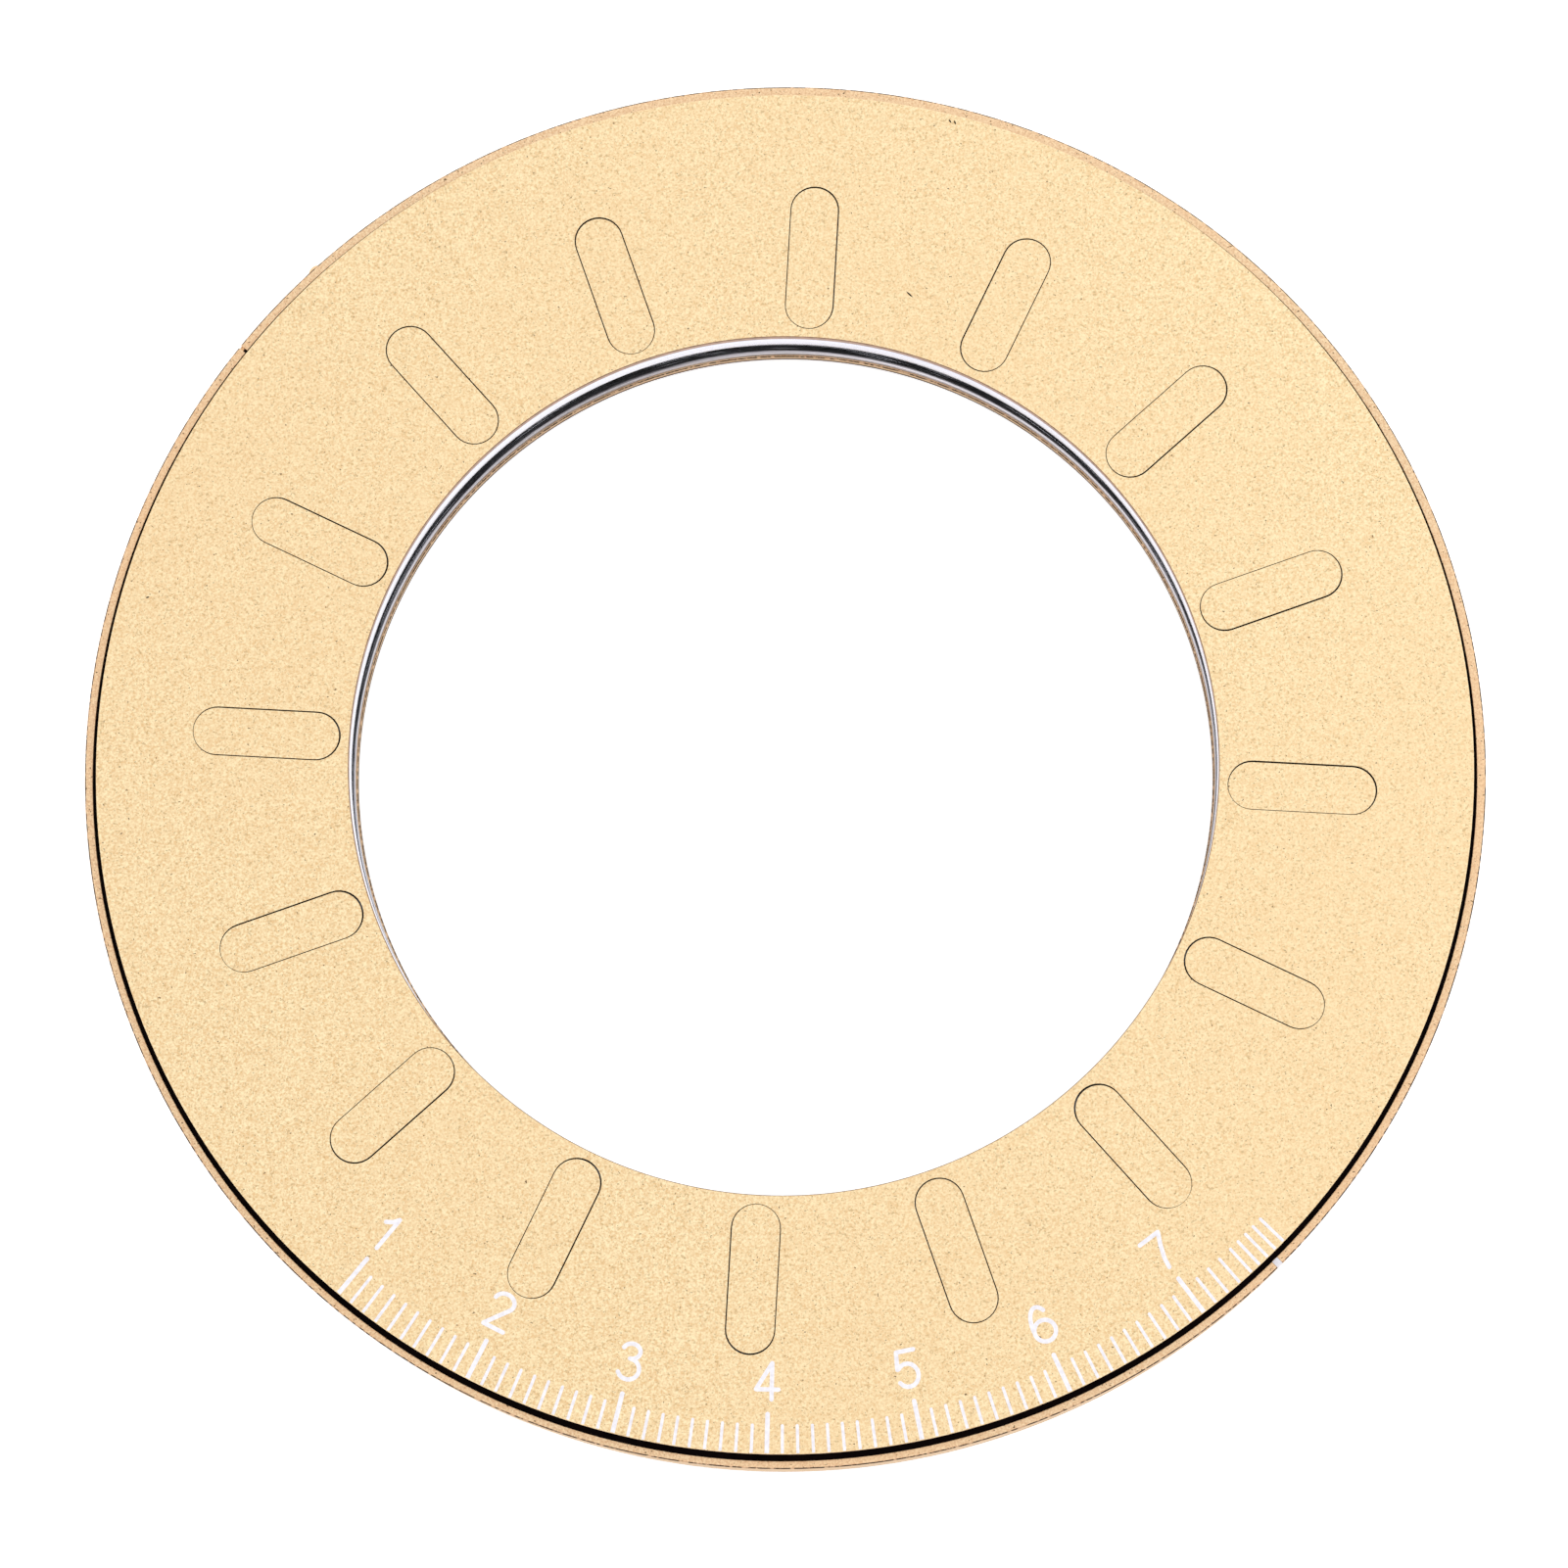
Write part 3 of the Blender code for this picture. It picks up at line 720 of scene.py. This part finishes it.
def build_retainer(black_shade_and_scratches):
    """Split spring ring, painted near black as the shade at the bottom of the gap round the dial.
    """
    angle = stop_place()[0]
    opening, edge = 3.0, 0.05
    corners = [
        (RETAINER_INNER, RETAINER_BOTTOM, edge),
        (RETAINER_OUTER, RETAINER_BOTTOM, edge),
        (RETAINER_OUTER, RETAINER_TOP, edge),
        (RETAINER_INNER, RETAINER_TOP, edge),
    ]
    start, sweep = angle + opening / 2, FULL_TURN - opening
    mesh = turned("retaining_spring", corners, RING_STEPS, start, sweep)
    return add_piece("retaining_spring", mesh, black_shade_and_scratches, black_shade_and_scratches)


# ---------------------------------------------------------------- leaves


def climb(angle, lowest, highest):
    """How far up its rise a leaf is, from 0 to 1, at an angle along it."""

    def raw(at):
        return math.asinh((at - CLIMB_CENTRE) / CLIMB_SPREAD)

    return (raw(angle) - raw(lowest)) / (raw(highest) - raw(lowest))


def leaf_mesh(pivot_radius):
    """One leaf about its own pivot: round ends, a punched stud hole and the formed climb."""
    lowest, highest = -LEAF_END_REACH, GUIDE_PIN_LEAD + LEAF_END_REACH
    rise = LEAF_HIGHEST - LEAF_LOWEST - LEAF_THICKNESS
    middle = (LEAF_INNER + LEAF_OUTER) / 2
    half_width = (LEAF_OUTER - LEAF_INNER) / 2
    ends = np.linspace(0, LEAF_END_REACH, LEAF_END_STATIONS)[1:]
    stations = sorted(
        {*(-ends), *np.linspace(0, GUIDE_PIN_LEAD, LEAF_STATIONS), *(GUIDE_PIN_LEAD + ends)}
    )
    bm = bmesh.new()
    rows = []
    for angle in stations:
        past = max(-angle, angle - GUIDE_PIN_LEAD, 0.0) / (LEAF_END_REACH * LEAF_END_BLUNTNESS)
        half = half_width * math.sqrt(1.0 - past**2)
        rows.append([bm.verts.new(polar(middle + side * half, angle)) for side in (-1, 0, 1)])
    for row, following in zip(rows, rows[1:]):
        for side in (0, 1):
            bm.faces.new((row[side], row[side + 1], following[side + 1], following[side]))
    thicken(bm, bm.faces, LEAF_THICKNESS)
    blank = add_piece("leaf_blank", mesh_from(bm, "leaf_blank"))
    hole, through = 0.82, 1.0
    bm = bmesh.new()
    add_rod(bm, hole, through, Matrix.Translation(polar(pivot_radius, 0.0)))
    boolean(blank, mesh_from(bm, "stud_hole"))
    mesh = blank.data
    bpy.data.objects.remove(blank, do_unlink=True)
    for vertex in mesh.vertices:
        angle = math.degrees(math.atan2(vertex.co.y, vertex.co.x))
        vertex.co.z += (LEAF_LOWEST + rise * climb(angle, lowest, highest)) * MM
    mesh.shade_smooth()
    mesh.set_sharp_from_angle(angle=math.radians(LEAF_SHARP_ANGLE))
    return mesh


def map_along_leaf(mesh, offset):
    """Lay a leaf's grain along its arc, and start each leaf at its own place in the sheet."""
    layer = mesh.uv_layers.new(name=LEAF_MAP)
    for loop in mesh.loops:
        corner = mesh.vertices[loop.vertex_index].co.xy
        arc = math.atan2(corner.y, corner.x) * LEAF_OUTER * MM
        layer.data[loop.index].uv = (offset + arc, corner.length)


def build_leaves(steel, edge):
    """Sixteen equal leaves, each turned about the dial's axis to its own pivot."""
    sheet_step, edge_slope = 0.5, 0.3
    joints = {joint["child"]: joint for joint in frame["joints"]}
    first = joints["iris_leaf_01"]["pos_m"]
    pattern = leaf_mesh(math.hypot(first[0], first[1]) / MM)
    for number in range(1, LEAF_COUNT + 1):
        body = f"iris_leaf_{number:02d}"
        x, y, _ = joints[body]["pos_m"]
        mesh = pattern.copy()
        map_along_leaf(mesh, sheet_step * number)
        mesh.transform(Matrix.Rotation(math.atan2(y, x), 4, "Z"))
        leaf = add_piece(f"{body}_sheet", mesh, steel, edge)
        for face in mesh.polygons:
            face.material_index = int(abs(face.normal.z) < edge_slope)
        dress(leaf, body, "leaf_steel", f"leaf_{number:02d}")
    bpy.data.meshes.remove(pattern)


# ---------------------------------------------------------------- dial


def build_slot_ring(steel, black_shade_and_scratches):
    """Turned steel ring under the dial, with its pin slots and the stop pin's recess.

    Its outside is painted near black as the shade in the gap round the dial, where alone it shows.
    """
    flange_top, edge, broken_edge = RETAINER_BOTTOM - SEAT_GAP, 0.06, 0.03
    corners = [
        (BORE, SLOT_RING_BOTTOM, edge),
        (FLANGE_RADIUS, SLOT_RING_BOTTOM, edge),
        (FLANGE_RADIUS, flange_top, edge),
        (SLOT_RING_RADIUS, flange_top, 0),
        (SLOT_RING_RADIUS, SLOT_RING_TOP, edge),
        (BORE, SLOT_RING_TOP, edge),
    ]
    ring = add_piece("slot_ring_turned", turned("slot_ring_turned", corners), steel, steel, black_shade_and_scratches)
    beyond = 1.0
    below, above = SLOT_RING_BOTTOM - beyond, SLOT_RING_TOP + beyond
    boolean(ring, slots_mesh("pin_slots", COVER_HAIRLINE, below, above))
    angle = stop_place()[0]
    low, high = next(j for j in frame["joints"] if j["child"] == "dial")["range_deg"]
    allowance, inner, outer, top, steps = 1.0, 59.0, FLANGE_RADIUS + beyond, 6.15, 60
    recess = [(inner, below, 0), (outer, below, 0), (outer, top, 0), (inner, top, 0)]
    start, sweep = angle - high - allowance, high - low + 2 * allowance
    boolean(ring, turned("stop_recess", recess, steps, start, sweep))
    chamfer(ring, broken_edge)
    # Painted shade: the outside goes near black.
    for face in ring.data.polygons:
        if face.center.xy.length > (SLOT_RING_RADIUS - edge) * MM:
            face.material_index = 2
    return ring


def build_dial(gold, dial_edge_shade, wall, gap_shade):
    """Blasted dial plate with sixteen close-fitting slots."""
    edge, under, beyond = 0.06, 0.05, 1.0
    corners = [
        (BORE, DIAL_BOTTOM, under),
        (DIAL_RADIUS, DIAL_BOTTOM, under),
        (DIAL_RADIUS, DIAL_TOP, edge),
        (BORE, DIAL_TOP, edge),
    ]
    dial = add_piece("dial_face", turned("dial_face", corners), gold, dial_edge_shade, wall, gap_shade)
    slots = slots_mesh("cover_slots", COVER_HAIRLINE, DIAL_BOTTOM - beyond, DIAL_TOP + beyond)
    boolean(dial, slots)
    # The bore's fillets take a painted dark edge line, the bore and outer walls painted shade, and
    # the slots' walls near-black painted shade of the hairline gaps. The outer fillets stay gold.
    bore_zone, edge_zone = BORE + 0.5, DIAL_RADIUS - 1.0
    for face in dial.data.polygons:
        radius = face.center.xy.length / MM
        if is_upright(face):
            face.material_index = 3 if bore_zone < radius < edge_zone else 2
        elif radius > edge_zone:
            face.material_index = 0
    return dial


def build_covers(gold, gap_shade):
    """Flush covers, each lying a little off the middle of its slot."""
    broken_edge, face_slope = 0.015, 0.9
    draw = random.Random(COVER_SEED)
    for name, angle in zip(COVERS, COVER_ANGLES):
        bm = bmesh.new()
        extrude_outline(bm, slot_outline(angle, 0.0), DIAL_BOTTOM, DIAL_TOP)
        play = [draw.uniform(-COVER_PLAY, COVER_PLAY) * MM for _ in range(2)]
        bmesh.ops.translate(bm, verts=bm.verts, vec=(*play, 0))
        cover = add_piece(name + "_inlay", mesh_from(bm, name + "_inlay"), gold, gap_shade)
        chamfer(cover, broken_edge)
        # Painted shade: the walls, chamfers and bottom of each cover go near-black brown, the dark
        # of its hairline gap.
        for face in cover.data.polygons:
            face.material_index = int(face.normal.z < face_slope)
        dress(cover, "dial", "gold_dial", name)


def tick_angles():
    """Angle, and whether it is a whole number, of every graduation."""
    angles = [SCALE_START_ANGLE + TICK_PITCH * step for step in range(EVEN_TICKS + 1)]
    angles += [angles[-1] + WIDE_OPEN_PITCH * step for step in range(1, WIDE_OPEN_TICKS + 1)]
    return [(angle, step % 10 == 0) for step, angle in enumerate(angles)]


def printed_radius(radius, angle):
    """Where a circle of the printed scale lies at an angle of the dial."""
    return radius + SCALE_LEAN * math.cos(math.radians(angle - SCALE_LEAN_ANGLE))


def tick_outline(angle, inner, outer, width):
    """A radial stroke with a round inner end."""
    turn = Matrix.Rotation(math.radians(angle), 2)
    half, end_steps = width / 2, 6
    points = [Vector((outer, -half)), Vector((outer, half))]
    for step in range(end_steps + 1):
        around = math.radians(90 + 180 * step / end_steps)
        points.append(Vector((inner + half + half * math.cos(around), half * math.sin(around))))
    return [turn @ point * MM for point in points]


def build_ticks(paint):
    """The graduations, as thin paint on the dial, running out almost to its edge."""
    outer = DIAL_RADIUS - TICK_OUTER_MARGIN
    bm = bmesh.new()
    for angle, whole in tick_angles():
        inner = printed_radius(LONG_TICK_INNER if whole else SHORT_TICK_INNER, angle)
        width = LONG_TICK_WIDTH if whole else SHORT_TICK_WIDTH
        outline = tick_outline(angle, inner, outer, width)
        extrude_outline(bm, outline, DIAL_TOP - PAINT_ROOT, DIAL_TOP + PAINT_THICKNESS)
    return add_piece("scale_ticks", mesh_from(bm, "scale_ticks"), paint)


def bow(x, y, half_wide, half_tall, first, last, steps=14):
    """Points along part of an ellipse, in millimetres from the figure's middle."""
    angles = [math.radians(first + (last - first) * step / steps) for step in range(steps + 1)]
    return [(x + half_wide * math.cos(a), y + half_tall * math.sin(a)) for a in angles]


def figure_strokes(digit):
    """Middle lines of a plain sans figure's strokes."""
    top, foot = 1.55, -1.55
    return {
        1: [[(-0.80, 0.68), (-0.30, 1.05), (0.03, top), (0.03, foot)]],
        2: [bow(-0.10, 0.80, 0.90, 0.75, 172, -28) + [(-0.95, foot), (0.95, foot)]],
        3: [bow(-0.10, 0.90, 0.76, 0.65, 165, -90), bow(-0.02, -0.65, 0.93, 0.90, 90, -152)],
        4: [[(0.30, foot), (0.30, top), (-1.05, -0.70), (0.88, -0.70)]],
        5: [[(0.80, top), (-0.70, top), (-0.88, 0.08)] + bow(-0.08, -0.55, 0.92, 1.0, 140, -148)],
        6: [bow(0.17, -0.35, 0.90, 1.90, 48, 180), bow(0.20, -0.62, 0.93, 0.93, 0, 360, 28)],
        7: [[(-0.92, top - 0.10), (1.02, top - 0.10), (0.50, 0.35), (0.12, -0.70), (-0.02, foot)]],
    }[digit]


def figure_sheet(bm, digit, place):
    """Fill a figure's strokes, round at their ends, into one flat sheet."""
    half, round_steps = FIGURE_STROKE / 2, 12
    corners, outlines = [], []

    def add_outline(points):
        outlines.append(list(range(len(corners), len(corners) + len(points))))
        corners.extend(points)

    for stroke in figure_strokes(digit):
        path = [Vector(point) for point in stroke]
        for first, last in zip(path, path[1:]):
            along = (last - first).normalized() * half
            across = Vector((-along.y, along.x))
            add_outline([first - across, last - across, last + across, first + across])
        for point in path:
            turns = [math.tau * step / round_steps for step in range(round_steps)]
            add_outline([point + Vector((math.cos(t), math.sin(t))) * half for t in turns])
    merge_distance = 0.0005
    points, _, faces, _, _, covered_by = delaunay_2d_cdt(corners, [], outlines, 0, merge_distance)
    made = [bm.verts.new(place @ Vector((*point, 0.0))) for point in points]
    for face, outlines_over in zip(faces, covered_by):
        if outlines_over:
            bm.faces.new([made[corner] for corner in face])


def build_digits(paint):
    """The figures, with their tops towards the bore, each on its own long graduation."""
    bm = bmesh.new()
    for digit in range(SCALE_FIRST, SCALE_LAST_LABEL + 1):
        angle = SCALE_START_ANGLE + TICK_PITCH * 10 * (digit - SCALE_FIRST)
        ring = printed_radius(FIGURE_CENTRE, angle)
        place = (
            Matrix.Translation(polar(ring, angle, DIAL_TOP - PAINT_ROOT))
            @ Matrix.Rotation(math.radians(angle + 90), 4, "Z")
            @ Matrix.Scale(MM, 4)
        )
        figure_sheet(bm, digit, place)
    loose = [vertex for vertex in bm.verts if not vertex.link_faces]
    bmesh.ops.delete(bm, geom=loose, context="VERTS")
    thicken(bm, bm.faces, PAINT_ROOT + PAINT_THICKNESS)
    return add_piece("scale_figures", mesh_from(bm, "scale_figures"), paint)


def build_scratches(dark):
    """A few short dark scratches, pointed at both ends, as thin as the scale's paint."""
    bm = bmesh.new()
    for radius, angle, length, lean in SCRATCHES:
        turn = Matrix.Rotation(math.radians(angle + lean), 2)
        middle = polar(radius, angle).xy
        tip, shoulder, side = length / 2, length / 6, SCRATCH_WIDTH / 2
        ahead = [(tip, 0), (shoulder, side), (-shoulder, side)]
        behind = [(-x, -y) for x, y in ahead]
        outline = [middle + turn @ Vector(point) * MM for point in ahead + behind]
        extrude_outline(bm, outline, DIAL_TOP - PAINT_ROOT, DIAL_TOP + PAINT_ROOT)
    return add_piece("dial_scratches", mesh_from(bm, "dial_scratches"), dark)


# ---------------------------------------------------------------- studio


def build_floor():
    """Pale floor, faintly lit from below like a light table."""
    half_size, below = 2.0, 0.0002
    bm = bmesh.new()
    bmesh.ops.create_grid(bm, x_segments=8, y_segments=8, size=half_size)
    bmesh.ops.translate(bm, verts=bm.verts, vec=(0, 0, -below))
    shader = Shader("pale_floor", 0.0, 0.9)
    uneven = shader.spread(shader.noise(6), 0.3, 0.7)
    shader.colour(shader.blend(uneven, (0.93, 0.93, 0.93), (0.95, 0.95, 0.95)))
    shader.surface.inputs["Emission Color"].default_value = (1.0, 1.0, 1.0, 1.0)
    shader.surface.inputs["Emission Strength"].default_value = 0.55
    add_piece("studio_floor", mesh_from(bm, "studio_floor"), shader.material)


def build_lights():
    """A bright even sky and one large soft lamp behind the object's left shoulder."""
    world = bpy.data.worlds.new("even_sky")
    bpy.context.scene.world = world
    world.use_nodes = True
    background = world.node_tree.nodes["Background"]
    background.inputs["Color"].default_value = (1.0, 0.995, 0.99, 1.0)
    background.inputs["Strength"].default_value = 1.02

    lamp = bpy.data.lights.new("key_softbox", "AREA")
    lamp.shape = "SQUARE"
    lamp.size = 1.2
    lamp.energy = 2.8
    lamp.color = (0.60, 0.85, 1.0)
    holder = bpy.data.objects.new("key_softbox", lamp)
    bpy.context.scene.collection.objects.link(holder)
    place = (0.7, 0.5, 0.8)
    holder.location = place
    holder.rotation_euler = Vector(place).to_track_quat("Z", "Y").to_euler()
    bpy.context.scene.view_settings.view_transform = "Standard"


def build_camera():
    """Camera nearly straight above the dial, leaning towards the front of the scale."""
    centre = Vector((0, 0, DIAL_TOP * MM))
    distance = CAMERA_DISTANCE_IN_DIAL_RADII * DIAL_RADIUS * MM
    tilt, turn = math.radians(CAMERA_TILT), math.radians(CAMERA_TURN)
    across = math.sin(tilt)
    back = Vector((across * math.cos(turn), across * math.sin(turn), math.cos(tilt)))
    right = Vector((0, 1, 0)).cross(back).normalized()
    up = back.cross(right)
    offset = right * math.tan(math.radians(CAMERA_PAN)) + up * math.tan(math.radians(CAMERA_RISE))
    data = bpy.data.cameras.new("camera")
    data.lens = CAMERA_LENS
    data.sensor_width = 36.0
    camera = bpy.data.objects.new("camera", data)
    bpy.context.scene.collection.objects.link(camera)
    axes = Matrix((right, up, back)).transposed().to_4x4()
    camera.matrix_world = Matrix.Translation(centre + (back - offset) * distance) @ axes
    bpy.context.scene.camera = camera


# ---------------------------------------------------------------- assembly


def dress(piece, body, slot, *nodes):
    """Let a piece ride on its body and stand for its CAD nodes."""
    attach(piece, body)
    if nodes:
        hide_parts(*nodes)


def keep_node(name, material):
    """Show a CAD node as it is, with a finished material."""
    node = frame["nodes"][name]
    node.data.materials.clear()
    node.data.materials.append(material)


dial_gold = blasted_gold(
    "dial_gold",
    light=(1.0, 0.85, 0.56),
    dark=(0.81, 0.545, 0.275),
    patch=(0.93, 0.68, 0.395),
    dimple=(0.56, 0.375, 0.18),
    speckle=0.07,
)
rim_gold = blasted_gold(
    "rim_gold",
    light=(1.0, 0.79, 0.52),
    dark=(0.74, 0.46, 0.255),
    patch=(1.0, 0.62, 0.35),
    dimple=(0.72, 0.43, 0.24),
    speckle=0.11,
)
# Painted dark edge line on the dial's bore fillets, standing in for shade
dial_edge_shade = shaded_metal("dial_edge_painted_shade", 0.85, (0.34, 0.20, 0.12), (0.16, 0.090, 0.055))
# Painted shade on the dial's bore and outer walls
wall = shaded_metal("dial_wall_painted_shade", 0.8, (0.50, 0.32, 0.24), (0.26, 0.15, 0.10))
# Painted shade on the tray's upright walls, a darker copy of its gold
tray_wall_shade = shaded_metal("tray_wall_shade", 0.8, (0.66, 0.46, 0.26), (0.46, 0.29, 0.15))
# Painted shade in a broken dark line on the tray's fillets
rim_edge_shade = painted_edge_shade()
# Painted contact shadow at the tray's foot and lowest bore
foot = matt_shade("foot_painted_shadow", (0.12, 0.065, 0.040), (0.05, 0.028, 0.020))
# Painted shade in the hairline gaps round the covers
gap_shade = matt_shade("gap_painted_shade", (0.07, 0.035, 0.022), (0.03, 0.015, 0.010))
upper_steel = turned_steel("slot_ring_steel", (0.86, 0.86, 0.92), (0.60, 0.59, 0.68), 0.24, 0.18)
# Near-black rings: painted shade of the deep bore, on the pivot ring and the spacer
lower_steel = turned_steel("pivot_ring_steel", (0.74, 0.71, 0.76), (0.07, 0.06, 0.07), 0.30, 0.10)
# Leaves painted dark as the shade of their deep zone, with painted light along their inner edge
spring = leaf_steel()
# Painted glints and painted shade on the leaves' thin edges
leaf_edge_glints = painted_edge_glints()
# Painted shade of the gap round the dial, and the dark colour of the scratches
black_shade_and_scratches = black_shade_and_scratch_steel()
paint = white_paint()
brass = pin_brass()

dress(build_tray(rim_gold, rim_edge_shade, tray_wall_shade, foot), "tray", "gold_rim", "base_tray")
dress(build_stop_pin(rim_gold), "tray", "gold_rim", "stop_pin")
dress(build_pivot_ring(lower_steel), "tray", "ring_steel", "pivot_ring")
dress(build_retainer(black_shade_and_scratches), "tray", "blackened_spring", "retaining_ring")
keep_node("spacer_ring", lower_steel)
keep_node("index_mark", paint)
build_leaves(spring, leaf_edge_glints)
for number in range(1, LEAF_COUNT + 1):
    keep_node(f"guide_pin_{number:02d}", brass)
dress(build_slot_ring(upper_steel, black_shade_and_scratches), "dial", "ring_steel", "slot_ring")
dress(build_dial(dial_gold, dial_edge_shade, wall, gap_shade), "dial", "gold_dial", "dial_plate")
build_covers(dial_gold, gap_shade)
dress(build_ticks(paint), "dial", "white_enamel")
dress(build_digits(paint), "dial", "white_enamel")
dress(build_scratches(black_shade_and_scratches), "dial", "gold_dial")
build_floor()
build_lights()
build_camera()
